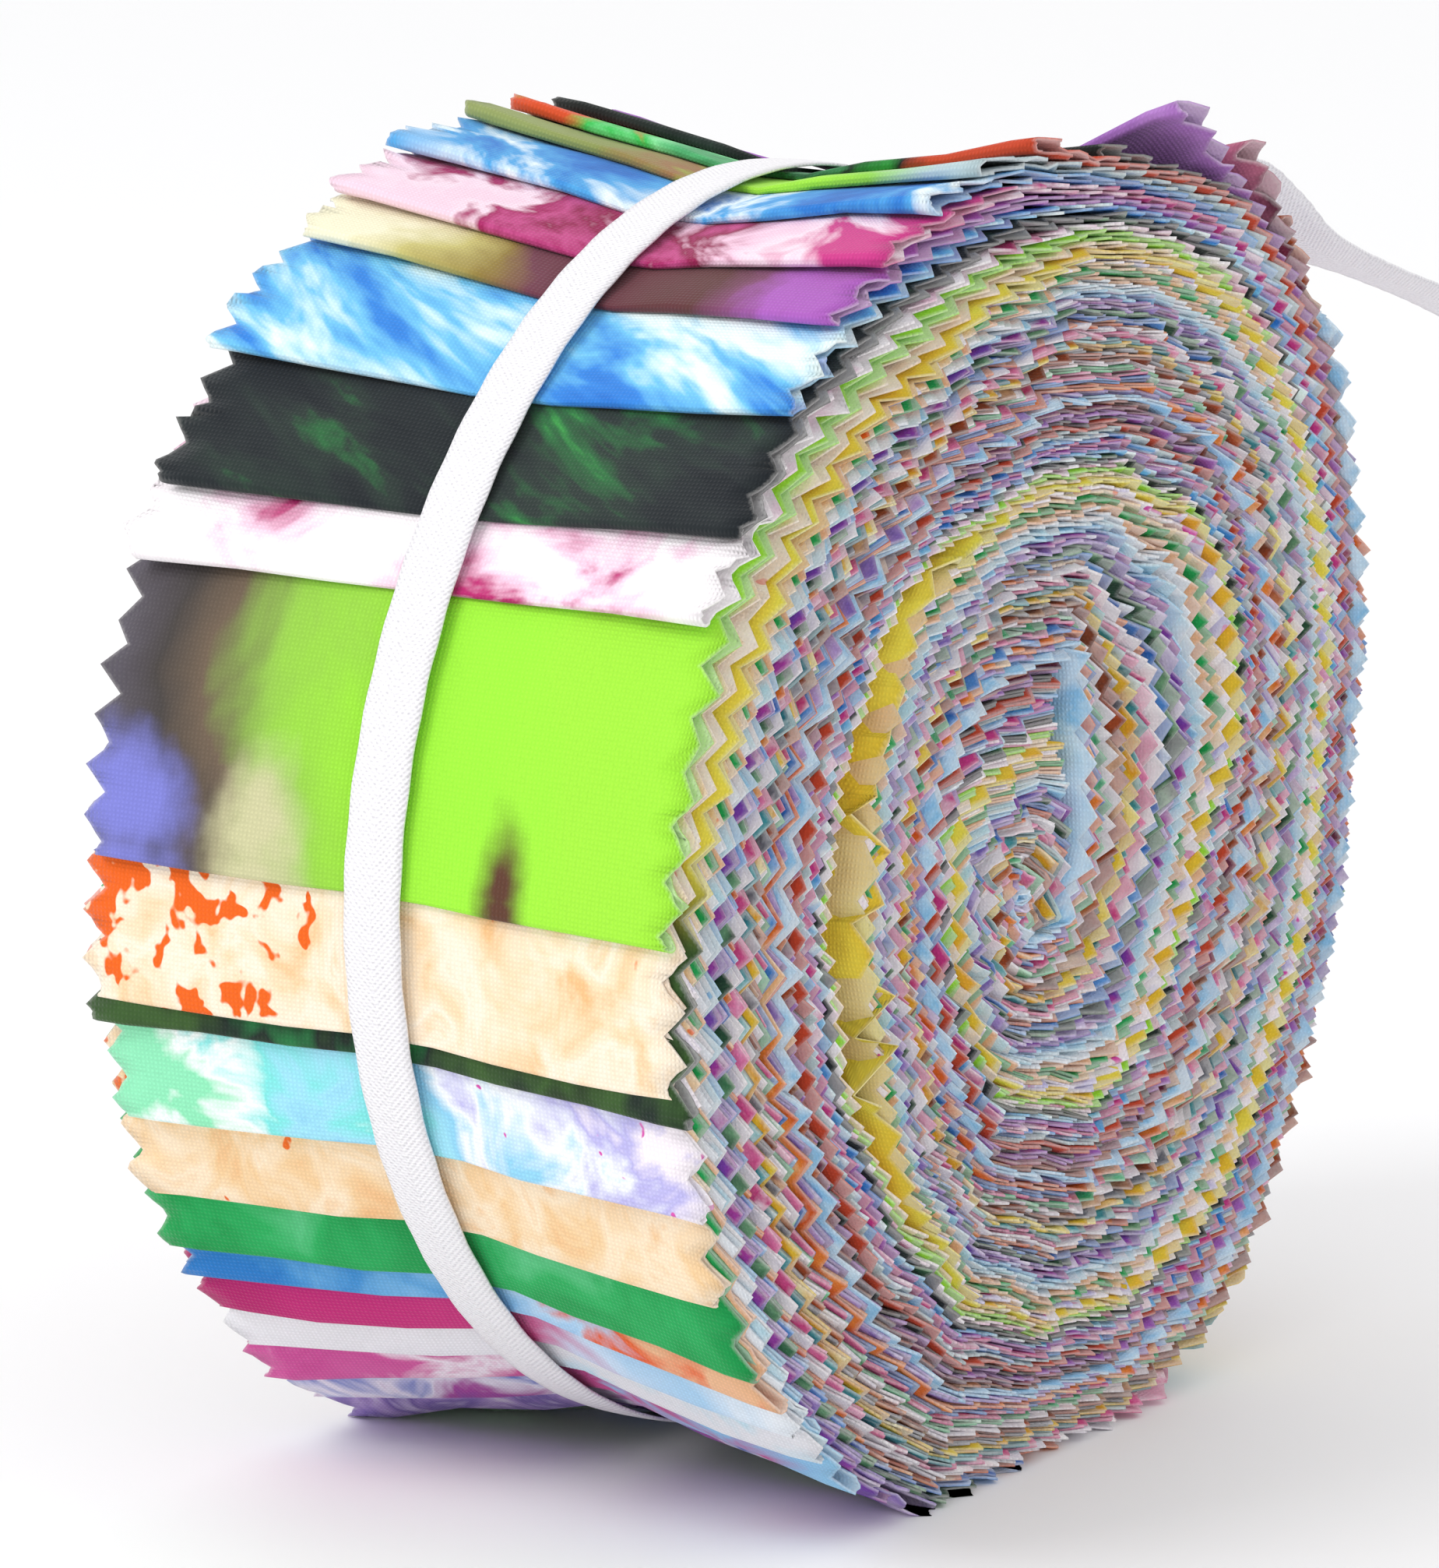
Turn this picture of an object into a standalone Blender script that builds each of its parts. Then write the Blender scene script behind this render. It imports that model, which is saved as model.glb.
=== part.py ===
"""Roll of folded cotton fabric strips, wound on edge and tied round its middle with a narrow ribbon.

The roll's axis is X, Z is up and the roll rests on a flattened spot at Z = 0.
Angles go from +Y towards +Z as seen from +X, so 90 degrees is the top and 180 degrees the front wall.
All lengths are metres and all angles degrees unless a name says otherwise.
"""
import math

import bmesh
import bpy
import numpy as np

# Named driving dimensions of the roll
STRIP_WIDTH = 0.0635
HALF_WIDTH = STRIP_WIDTH / 2
ROLL_RADIUS = 0.0615
FLAT_SAG = 0.0025
AXIS_HEIGHT = ROLL_RADIUS - FLAT_SAG
STEP_HEIGHT = 0.0010
STEP_HALF_ANGLE = 0.28
TOOTH_PITCH = 0.0047
TOOTH_DEPTH = 0.0018
JUT = 0.0008
WAIST_LEAST = 0.0012
WAIST_SWELL = 0.0032
WAIST_POWER = 1.2

# Named driving dimensions of the ribbon
RIBBON_WIDTH = 0.0060
RIBBON_THICK = 0.0010
RIBBON_GAP = 0.00035
RIBBON_BED = 0.0042
KNOT_ANGLE = 57.0
KNOT_SIZE = (0.0088, 0.0080, 0.0044)

# Face relief: the groove between the turns of the bundle, about the centre of the core
CORE = (-0.0044, -0.0057)
FACE_COLUMNS = 100
FACE_HEIGHT = 0.0302
LIP_INSET = 0.0016
LIP_DROP = 0.0007
PILLOW = 0.0008
GROOVE_HALF = 0.0009
GROOVE_DEPTH = 0.0016
CRESCENT_WIDTH = 0.0032
CRESCENT_DEPTH = 0.0070
CRESCENT_SPAN = (455.0, 600.0)

# Fold edges of the strips on the front half, columns: degrees at the middle, slant from rim to rim
FOLD_FRONT = [(84.0, 6.0), (91.0, 9.0), (99.8, 5.5), (108.5, 4.5), (114.8, 6.0), (126.7, 1.0), (138.8, -1.0),
              (145.8, 0.0), (172.6, 1.5), (186.0, 2.0), (188.0, 2.0), (198.0, 2.0), (207.6, 3.0), (215.8, 5.0),
              (220.0, 5.0), (226.0, 5.0), (232.0, 4.0), (238.5, 3.0), (246.0, 2.0), (254.0, 1.0)]
FOLD_BACK_COUNT = 20

# Rim offset from the plain circle at the near face, columns: degrees, millimetres
RIM_OFFSET = [(0, -2.0), (10, -0.6), (24, 1.0), (34, 3.4), (44, 5.0), (55, 5.0), (62, 3.0), (69, 0.9),
              (78, 0.1), (120, 0.0), (180, 0.0), (240, 0.6), (270, 0.0), (286, -0.6), (300, 1.4),
              (312, 1.2), (325, -1.8), (340, -1.8), (352, -2.4), (360, -2.0)]

# Bundle spiral about the roll's centre, columns: wound degrees, millimetres
SPIRAL = [(195, 14.6), (226, 17.1), (256, 23.5), (285, 27.2), (314, 28.9), (347, 29.5), (368, 36.3),
          (394, 37.4), (412, 33.9), (436, 31.9), (454, 30.4), (475, 30.7), (495, 31.7), (522, 30.5),
          (555, 31.2), (575, 33.4), (604, 39.5), (630, 48.0), (658, 50.5), (700, 52.5), (740, 54.6),
          (773, 54.4), (794, 53.0), (813, 50.2), (834, 49.0), (857, 52.0), (878, 54.9), (892, 57.4)]

# Ribbon ends: centre line points in millimetres and the lean of the flat side, columns: x, y, z, lean
TAIL_LONG = [(3.5, 37.4, 109.2, 0), (4.4, 43.0, 109.5, 0), (5.2, 52.0, 110.0, 4), (6.6, 64.0, 109.8, 10),
             (8.4, 75.0, 107.6, 30), (9.4, 81.5, 103.4, 40), (9.9, 88.0, 99.0, 24),
             (10.3, 100.0, 94.8, 12), (10.9, 114.0, 90.0, 12), (11.6, 130.0, 83.4, 12),
             (12.2, 141.0, 77.6, 14)]
TAIL_SHORT = [(-3.5, 37.4, 109.2, 0), (-3.9, 44.0, 109.0, 10), (-3.4, 54.0, 108.6, 28),
              (-2.6, 64.0, 108.9, 42), (-2.0, 75.5, 109.4, 46)]


def clear_scene():
    """Remove whatever the file opened with."""
    for thing in list(bpy.data.objects):
        bpy.data.objects.remove(thing)


def smooth(x):
    """Smooth step from 0 to 1."""
    x = np.clip(x, 0.0, 1.0)
    return x * x * (3.0 - 2.0 * x)


def waist(deg, x):
    """Depth of the squeeze under the ribbon: deepest at the middle and at the top and bottom."""
    depth = WAIST_LEAST + WAIST_SWELL * np.abs(np.sin(np.radians(deg))) ** 1.5
    out = np.clip((np.abs(x) - RIBBON_BED) / (HALF_WIDTH - RIBBON_BED), 0.0, 1.0)
    return depth * (1.0 - out) ** WAIST_POWER


def base_radius(deg, x):
    """Radius of the smooth wound form at an angle and a place along the axis."""
    table = np.array(RIM_OFFSET, float)
    offset = np.interp(np.mod(deg, 360.0), table[:, 0], table[:, 1]) * 0.001
    near = smooth((x - RIBBON_BED) / (HALF_WIDTH - RIBBON_BED)) ** 0.7
    return ROLL_RADIUS + offset * near - waist(deg, x)


def fold_edges():
    """Angles and slants of the edges where one folded strip ends on the outside, all round."""
    front = np.array(FOLD_FRONT)
    back = np.linspace(front[-1, 0], front[0, 0] + 360.0, FOLD_BACK_COUNT + 2)[1:-1]
    slants = 2.0 * np.sin(1.7 * np.arange(FOLD_BACK_COUNT))
    return np.concatenate([front[:, 0], back]), np.concatenate([front[:, 1], slants])


def wall_columns():
    """Columns of the wall: angle, slant, step height from the smooth form, and the rim's half width."""
    edges, slants = fold_edges()
    edges = np.append(edges, edges[0] + 360.0)
    slants = np.append(slants, slants[0])
    angle, slant, lift, half = [], [], [], []
    for number in range(len(edges) - 1):
        start, end = edges[number], edges[number + 1]
        teeth = max(1, round(math.radians(end - start) * ROLL_RADIUS / TOOTH_PITCH))
        count = 2 * teeth + 1
        jut = JUT * math.sin(2.4 * number + 0.7)
        part = np.linspace(0.0, 1.0, count)
        angle.append(start + STEP_HALF_ANGLE + part * (end - start - 2 * STEP_HALF_ANGLE))
        slant.append(slants[number] + part * (slants[number + 1] - slants[number]))
        lift.append(STEP_HEIGHT * (smooth(part * 1.4) - 0.5))
        half.append(HALF_WIDTH - JUT + jut - TOOTH_DEPTH * (np.arange(count) % 2))
    return [np.concatenate(one) for one in (angle, slant, lift, half)]


def spiral_radius(turned):
    """Radius of the bundle's inner side about the core centre, at a wound angle about that centre."""
    table = np.array(SPIRAL, float)
    rad = np.radians(table[:, 0])
    y = table[:, 1] * 0.001 * np.cos(rad) - CORE[0]
    z = table[:, 1] * 0.001 * np.sin(rad) - CORE[1]
    wound = np.degrees(np.unwrap(np.arctan2(z, y)))
    wound += 360.0 * np.round((table[0, 0] - wound[0]) / 360.0)
    inner = np.array([-165.0, -75.0, 15.0, 105.0])
    inner_r = np.array([0.0, 0.0022, 0.0044, 0.0072])
    angles = np.concatenate([inner, wound])
    radii = np.concatenate([inner_r, np.hypot(y, z)])
    return np.interp(turned, angles, radii)


def groove_shape(turned):
    """Outer width and depth of the groove at a wound angle: wide and deep in the crescent gap."""
    start, end = CRESCENT_SPAN
    part = np.clip((turned - start) / (end - start), 0.0, 1.0)
    bulge = np.sin(np.pi * part) ** 1.3
    fade = smooth((turned + 140.0) / 60.0) * smooth((880.0 - turned) / 60.0)
    return GROOVE_HALF + CRESCENT_WIDTH * bulge, fade * (GROOVE_DEPTH + CRESCENT_DEPTH * bulge)


def outline_from_core(deg, inset):
    """Distance from the core centre to the outline, pulled in by an inset, along one direction."""
    around = np.arange(0.0, 720.0, 1.0) - 180.0
    r = base_radius(around, HALF_WIDTH * 0.96) - inset
    y = r * np.cos(np.radians(around))
    z = np.maximum(r * np.sin(np.radians(around)), -AXIS_HEIGHT + inset)
    turned = np.degrees(np.unwrap(np.arctan2(z - CORE[1], y - CORE[0])))
    turned += -180.0 - turned[0] + math.degrees(math.atan2(0.0, 1.0))
    dist = np.hypot(y - CORE[0], z - CORE[1])
    shift = math.degrees(math.atan2(z[180] - CORE[1], y[180] - CORE[0])) - turned[180]
    return np.interp(np.mod(deg, 360.0), turned + shift, dist)


class Shell:
    """Collects vertices and faces of one closed solid."""

    def __init__(self):
        self.points = []
        self.faces = []

    def add(self, x, y, z):
        self.points.append((float(x), float(y), float(z)))
        return len(self.points) - 1

    def face(self, *ids):
        kept = []
        for one in ids:
            if one not in kept:
                kept.append(one)
        if len(kept) > 2:
            self.faces.append(kept)


def face_ring(shell, side):
    """Relief of one end of the roll; gives the ids of its outermost line in order of angle."""
    centre = shell.add(side * FACE_HEIGHT, CORE[0], CORE[1] + AXIS_HEIGHT)
    count = FACE_COLUMNS
    ids = {}
    for column in range(count):
        groups = 3 if column else 4
        turned = -165.0 + 360.0 * column / count
        limit = outline_from_core(turned, LIP_INSET + 0.0006)
        reach = [spiral_radius(turned + 360.0 * g) for g in range(4)]
        for group in range(groups):
            if column == 0 and group == 0:
                for knot in range(4):
                    ids[column, group, knot] = centre
                continue
            wide, deep = groove_shape(turned + 360.0 * group)
            middle = reach[group]
            after = reach[group + 1] if group < 3 else limit
            after = min(after, limit)
            wide = min(wide, 0.4 * max(after - middle, 0.0005) + 0.0004)
            knots = [(middle - GROOVE_HALF, 0.0), (middle, -deep), (middle + wide * 0.55, -deep),
                     (middle + wide, 0.0)]
            if column == 0 and group == 3:
                knots = [(limit - 0.0004 * (4 - k), 0.0) for k in range(4)]
            for knot, (radius, lift) in enumerate(knots):
                floor_r = 0.0003 * (4 * group + knot + 1)
                ceiling = limit - 0.0003 * (4 * (3 - group) + 4 - knot)
                if not (column == 0 and group == 3):
                    radius = min(max(radius, floor_r), ceiling)
                y = CORE[0] + radius * math.cos(math.radians(turned))
                z = CORE[1] + radius * math.sin(math.radians(turned))
                bowl = PILLOW * math.cos(0.5 * math.pi * radius / ROLL_RADIUS)
                x = side * (FACE_HEIGHT + bowl + lift)
                ids[column, group, knot] = shell.add(x, y, z + AXIS_HEIGHT)
    for group in range(3):
        for knot in range(4):
            ids[count, group, knot] = ids[0, group + 1, knot]
    lines = [(group, knot) for group in range(3) for knot in range(4)]
    for column in range(count):
        shell.face(centre, ids[column, 0, 0], ids[column + 1, 0, 0])
        for (g0, k0), (g1, k1) in zip(lines, lines[1:]):
            shell.face(ids[column, g0, k0], ids[column, g1, k1], ids[column + 1, g1, k1],
                       ids[column + 1, g0, k0])
    lip = side * (FACE_HEIGHT - LIP_DROP)
    rim = []
    for column in range(count):
        turned = -165.0 + 360.0 * column / count
        limit = outline_from_core(turned, LIP_INSET)
        y = CORE[0] + limit * math.cos(math.radians(turned))
        z = CORE[1] + limit * math.sin(math.radians(turned))
        rim.append(shell.add(lip, y, z + AXIS_HEIGHT))
    for column in range(1, count):
        after = (column + 1) % count
        low = ids[column + 1, 2, 3]
        shell.face(ids[column, 2, 3], rim[column], rim[after], low)
    shell.face(ids[0, 2, 3], ids[0, 3, 0], ids[0, 3, 1], ids[0, 3, 2], ids[0, 3, 3], rim[0], rim[1],
               ids[1, 2, 3])
    return rim


def angle_from_core(point):
    """Angle of a point about the core centre."""
    return math.degrees(math.atan2(point[2] - AXIS_HEIGHT - CORE[1], point[1] - CORE[0]))


def zip_rings(shell, inner, outer):
    """Join two closed lines of different counts by walking round both in step."""
    first = angle_from_core(shell.points[inner[0]])

    def turned(ids, start):
        values, last = [], None
        for one in ids:
            value = angle_from_core(shell.points[one])
            if last is None:
                value = start + (value - start) % 360.0 if start is not None else value
                if start is not None and value - start > 300.0:
                    value -= 360.0
            else:
                value += 360.0 * round((last - value) / 360.0)
            values.append(value)
            last = value
        return values

    gaps = [(angle_from_core(shell.points[one]) - first) % 360.0 for one in outer]
    begin = int(np.argmin(gaps))
    outer = outer[begin:] + outer[:begin]
    a, b = turned(inner, first), turned(outer, first)
    i = j = 0
    while i < len(inner) or j < len(outer):
        here_i, here_j = inner[i % len(inner)], outer[j % len(outer)]
        next_i, next_j = inner[(i + 1) % len(inner)], outer[(j + 1) % len(outer)]
        at_i = a[i + 1] if i + 1 < len(inner) else a[0] + 360.0
        at_j = b[j + 1] if j + 1 < len(outer) else b[0] + 360.0
        if j >= len(outer) or (i < len(inner) and at_i <= at_j):
            shell.face(here_i, next_i, here_j)
            i += 1
        else:
            shell.face(here_i, next_j, here_j)
            j += 1


def make_object(name, points, faces, colour):
    """One closed mesh object with its own material, faces turned outward."""
    mesh = bpy.data.meshes.new(name)
    mesh.from_pydata(points, [], faces)
    body = bmesh.new()
    body.from_mesh(mesh)
    bmesh.ops.triangulate(body, faces=body.faces[:])
    bmesh.ops.recalc_face_normals(body, faces=body.faces[:])
    if body.calc_volume(signed=True) < 0.0:
        bmesh.ops.reverse_faces(body, faces=body.faces[:])
    open_edges = [edge for edge in body.edges if len(edge.link_faces) != 2]
    print(name, "triangles", len(body.faces), "open edges", len(open_edges),
          "volume ml", round(body.calc_volume() * 1e6, 2))
    body.to_mesh(mesh)
    body.free()
    thing = bpy.data.objects.new(name, mesh)
    bpy.context.scene.collection.objects.link(thing)
    material = bpy.data.materials.new(name + "_material")
    material.use_nodes = True
    shader = material.node_tree.nodes["Principled BSDF"]
    shader.inputs["Base Color"].default_value = (*colour, 1.0)
    shader.inputs["Roughness"].default_value = 0.9
    mesh.materials.append(material)
    return thing


def build_roll():
    """The wound roll: stepped outside, squeezed waist, toothed rims, spiral relief on both ends."""
    shell = Shell()
    upright, slant, lift, half = wall_columns()
    rows = [-1.0, -0.62, -0.32, -0.133, 0.0, 0.133, 0.32, 0.62, 1.0]
    grid = []
    for row in rows:
        x = row * half
        angle = upright + slant * x / STRIP_WIDTH
        free = smooth((np.abs(x) - RIBBON_BED) / (0.35 * HALF_WIDTH))
        radius = base_radius(angle, x) + lift * free
        y = radius * np.cos(np.radians(angle))
        z = np.maximum(AXIS_HEIGHT + radius * np.sin(np.radians(angle)), 0.0)
        grid.append([shell.add(*point) for point in zip(x, y, z)])
    count = len(upright)
    for low, high in zip(grid, grid[1:]):
        for i in range(count):
            j = (i + 1) % count
            shell.face(low[i], low[j], high[j], high[i])
    for side, ring in ((1.0, grid[-1]), (-1.0, grid[0])):
        inner = face_ring(shell, side)
        zip_rings(shell, inner, ring)
    return make_object("roll", shell.points, shell.faces, (0.72, 0.62, 0.66))


def middle_radius(deg):
    """Radius of the roll under the ribbon."""
    return base_radius(deg, 0.0)


def build_band():
    """The ribbon's ring in the waist."""
    shell = Shell()
    count = 96
    angle = np.arange(count) * 360.0 / count
    inner = np.array([middle_radius(a) for a in angle]) + RIBBON_GAP
    loops = []
    for x, thick in ((-0.5, 0.0), (0.5, 0.0), (0.5, 1.0), (-0.5, 1.0)):
        radius = inner + thick * RIBBON_THICK
        y = radius * np.cos(np.radians(angle))
        z = AXIS_HEIGHT + radius * np.sin(np.radians(angle))
        loops.append([shell.add(x * RIBBON_WIDTH, *point) for point in zip(y, z)])
    for k in range(4):
        one, other = loops[k], loops[(k + 1) % 4]
        for i in range(count):
            j = (i + 1) % count
            shell.face(one[i], one[j], other[j], other[i])
    return make_object("ribbon_band", shell.points, shell.faces, (0.92, 0.92, 0.92))


def knot_frame():
    """Centre of the knot and its directions along the ribbon and outwards."""
    rad = math.radians(KNOT_ANGLE)
    along = np.array([0.0, -math.sin(rad), math.cos(rad)])
    out = np.array([0.0, math.cos(rad), math.sin(rad)])
    base = middle_radius(KNOT_ANGLE) + RIBBON_GAP + RIBBON_THICK + 0.00035
    centre = np.array([0.0, 0.0, AXIS_HEIGHT]) + out * (base + KNOT_SIZE[2] / 2)
    return centre, along, out


def build_knot():
    """The flat knot on the back of the top: a rounded lump with a waist where the ends cross."""
    shell = Shell()
    centre, along, out = knot_frame()
    rings, around = 9, 20
    lines = []
    for i in range(1, rings):
        polar = math.pi * i / rings
        line = []
        for j in range(around):
            turn = 2.0 * math.pi * j / around
            sx = math.sin(polar) * math.cos(turn)
            sy = math.sin(polar) * math.sin(turn)
            sz = math.cos(polar)
            pinch = 1.0 - 0.16 * math.exp(-((sx / 0.25) ** 2)) * abs(sy)
            box = [math.copysign(abs(v) ** 0.72, v) for v in (sx, sy, sz)]
            point = centre + np.array([1.0, 0.0, 0.0]) * box[0] * KNOT_SIZE[0] / 2
            point = point + along * box[1] * pinch * KNOT_SIZE[1] / 2 + out * box[2] * KNOT_SIZE[2] / 2
            line.append(shell.add(*point))
        lines.append(line)
    top = shell.add(*(centre + out * KNOT_SIZE[2] / 2))
    bottom = shell.add(*(centre - out * KNOT_SIZE[2] / 2))
    for j in range(around):
        k = (j + 1) % around
        shell.face(top, lines[0][j], lines[0][k])
        shell.face(bottom, lines[-1][k], lines[-1][j])
        for one, other in zip(lines, lines[1:]):
            shell.face(one[j], other[j], other[k], one[k])
    return make_object("ribbon_knot", shell.points, shell.faces, (0.92, 0.92, 0.92))


def curve_points(table, count):
    """Rounded path through the points of a table, by Catmull-Rom pieces of equal parameter."""
    p = np.array(table, float)
    p = np.vstack([2 * p[0] - p[1], p, 2 * p[-1] - p[-2]])
    pieces = len(p) - 3
    t = np.linspace(0.0, pieces, count)
    k = np.minimum(t.astype(int), pieces - 1)
    u = (t - k)[:, None]
    a, b, c, d = p[k], p[k + 1], p[k + 2], p[k + 3]
    return 0.5 * (2 * b + (c - a) * u + (2 * a - 5 * b + 4 * c - d) * u ** 2
                  + (3 * b - a - 3 * c + d) * u ** 3)


def build_tail(name, table, slant):
    """A free ribbon end: a flat strip along its path, its far end cut at a slant."""
    shell = Shell()
    path = curve_points(table, 5 * (len(table) - 1) + 1)
    middle = path[:, :3] * 0.001
    lean = np.radians(path[:, 3])
    ahead = np.gradient(middle, axis=0)
    ahead /= np.linalg.norm(ahead, axis=1)[:, None]
    side = np.cross(ahead, [1.0, 0.0, 0.0])
    side = np.cross(side, ahead)
    side /= np.linalg.norm(side, axis=1)[:, None]
    up = np.cross(ahead, side)
    up *= np.sign(up[:, 2:3] + 1e-9)
    across = np.cos(lean)[:, None] * side + np.sin(lean)[:, None] * up
    normal = np.cross(ahead, across)
    lines = []
    for i in range(len(middle)):
        push = slant if i == len(middle) - 1 else 0.0
        line = []
        for a, n in ((-1, -1), (1, -1), (1, 1), (-1, 1)):
            point = middle[i] + a * across[i] * RIBBON_WIDTH / 2 + n * normal[i] * RIBBON_THICK / 2
            line.append(shell.add(*(point + ahead[i] * push * a)))
        lines.append(line)
    for one, other in zip(lines, lines[1:]):
        for k in range(4):
            m = (k + 1) % 4
            shell.face(one[k], one[m], other[m], other[k])
    shell.face(*lines[0])
    shell.face(*lines[-1])
    return make_object(name, shell.points, shell.faces, (0.92, 0.92, 0.92))


def build():
    """All the solids of the part."""
    clear_scene()
    build_roll()
    build_band()
    build_knot()
    build_tail("ribbon_tail_long", TAIL_LONG, 0.0015)
    build_tail("ribbon_tail_short", TAIL_SHORT, 0.0015)


build()
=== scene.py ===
# %% [markdown]
# # A tied roll of fabric strips
#
# This notebook dresses the CAD frame of a roll of quilting cotton. Forty printed strips are folded
# in half, stacked and wound up together on edge, and a narrow white ribbon holds them. The CAD
# solids give the outline, the squeeze under the ribbon and the two ribbon ends. Here every strip
# becomes one closed sheet of cloth, wound from its cut start in the core to its fold on the outside.
#
# All tables are in millimetres and degrees. Angles go from +Y towards +Z as seen from +X, so
# 90 degrees is the top of the roll and 180 degrees its front wall.

# %% Imports and the CAD frame
import math

import bpy
import numpy as np
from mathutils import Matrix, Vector


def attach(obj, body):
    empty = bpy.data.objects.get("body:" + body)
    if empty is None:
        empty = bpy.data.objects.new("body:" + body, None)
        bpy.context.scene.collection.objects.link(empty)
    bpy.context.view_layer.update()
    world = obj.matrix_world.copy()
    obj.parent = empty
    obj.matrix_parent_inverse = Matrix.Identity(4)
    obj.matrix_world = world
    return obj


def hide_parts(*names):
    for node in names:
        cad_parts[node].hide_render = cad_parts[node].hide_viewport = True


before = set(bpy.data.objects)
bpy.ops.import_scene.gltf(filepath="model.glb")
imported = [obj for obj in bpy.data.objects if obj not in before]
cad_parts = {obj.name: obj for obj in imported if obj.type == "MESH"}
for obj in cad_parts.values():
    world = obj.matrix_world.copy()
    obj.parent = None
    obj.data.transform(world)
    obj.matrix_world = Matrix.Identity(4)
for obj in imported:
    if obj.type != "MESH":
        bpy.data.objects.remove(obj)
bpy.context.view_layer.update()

MM = 0.001
HALF_WIDTH = 31.75
ROLL_RADIUS = 61.5
AXIS_HEIGHT = 59.0
RIBBON_BED = 4.2
CORE_Y, CORE_Z = -4.4, -5.7

# %% [markdown]
# ## Camera
#
# The place was found by fitting the ribbon ring, the rims and the ends of the roll to the photo.
# A long lens from 0.86 m keeps the near face only a little larger than the far one.

# %% Camera
CAMERA_AZIMUTH = math.radians(32.11)
CAMERA_ELEVATION = math.radians(11.957)
CAMERA_DISTANCE = 0.85962
CAMERA_TARGET = Vector((0.0, -0.005687, 0.060712))


def make_camera():
    """Place the camera on a circle round the target: back along the azimuth, up by the elevation."""
    back = Vector((math.sin(CAMERA_AZIMUTH) * math.cos(CAMERA_ELEVATION),
                   -math.cos(CAMERA_AZIMUTH) * math.cos(CAMERA_ELEVATION),
                   math.sin(CAMERA_ELEVATION)))
    data = bpy.data.cameras.new("camera")
    data.lens = 216.46
    data.sensor_width = 36.0
    data.clip_start, data.clip_end = 0.05, 20.0
    camera = bpy.data.objects.new("camera", data)
    camera.location = CAMERA_TARGET + back * CAMERA_DISTANCE
    camera.rotation_mode = "QUATERNION"
    camera.rotation_quaternion = (-back).to_track_quat("-Z", "Y")
    bpy.context.scene.collection.objects.link(camera)
    bpy.context.scene.camera = camera


make_camera()

# %% [markdown]
# ## Small helpers
#
# Colours are written as on the screen and turned into linear light. `smooth` is the soft step from
# 0 to 1 that fades things in. `closed_quads` gives the faces of a closed sheet over two grids of
# points: a printed side, a wrong side and the cut edges between them. `make_mesh` makes the object.

# %% Helpers


def smooth(x):
    """Soft step: 3 x squared minus 2 x cubed, held between 0 and 1."""
    x = np.clip(x, 0.0, 1.0)
    return x * x * (3.0 - 2.0 * x)


def colour(code):
    """Linear colour of a six-digit screen colour."""
    parts = [int(code[i:i + 2], 16) / 255.0 for i in (0, 2, 4)]
    return [v / 12.92 if v < 0.04045 else ((v + 0.055) / 1.055) ** 2.4 for v in parts] + [1.0]


def closed_quads(rows, cols):
    """Faces of a closed sheet over two grids of rows by cols: top, underside, rims and ends."""
    top = np.arange(rows * cols).reshape(rows, cols)
    low = top + rows * cols

    def quads(a, b, c, d):
        return np.stack([a.ravel(), b.ravel(), c.ravel(), d.ravel()], axis=1)

    return np.concatenate([
        quads(top[:-1, :-1], top[1:, :-1], top[1:, 1:], top[:-1, 1:]),
        quads(low[:-1, :-1], low[:-1, 1:], low[1:, 1:], low[1:, :-1]),
        quads(top[-1, :-1], low[-1, :-1], low[-1, 1:], top[-1, 1:]),
        quads(top[0, :-1], top[0, 1:], low[0, 1:], low[0, :-1]),
        quads(top[:-1, 0], low[:-1, 0], low[1:, 0], top[1:, 0]),
        quads(top[:-1, -1], top[1:, -1], low[1:, -1], low[:-1, -1]),
    ])


def make_mesh(name, points, quads, material, uv=None, values=(), soft=True):
    """One object at the origin from points in millimetres, with a UV map and point attributes."""
    mesh = bpy.data.meshes.new(name)
    mesh.from_pydata((points * MM).tolist(), [], quads.tolist())
    if uv is not None:
        layer = mesh.uv_layers.new(name="cloth")
        layer.data.foreach_set("uv", uv[np.asarray(quads).ravel()].astype(np.float32).ravel())
    for title, numbers in values:
        attribute = mesh.attributes.new(title, "FLOAT", "POINT")
        attribute.data.foreach_set("value", np.asarray(numbers, np.float32))
    mesh.polygons.foreach_set("use_smooth", np.full(len(mesh.polygons), soft))
    mesh.materials.append(material)
    thing = bpy.data.objects.new(name, mesh)
    bpy.context.scene.collection.objects.link(thing)
    return thing


# %% [markdown]
# ## Materials
#
# Each print is made of soft dye blotches. A noise over the cloth's own flat coordinates, stretched
# and bent, runs through a ramp of that print's colours; a second noise drops an accent colour on
# top. A fine thread pattern, two crossed waves 0.42 mm apart, roughens the surface. The wrong side
# is paler, and so are the last half millimetre and the fuzz of the cut edge.

# %% Node helpers


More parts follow.
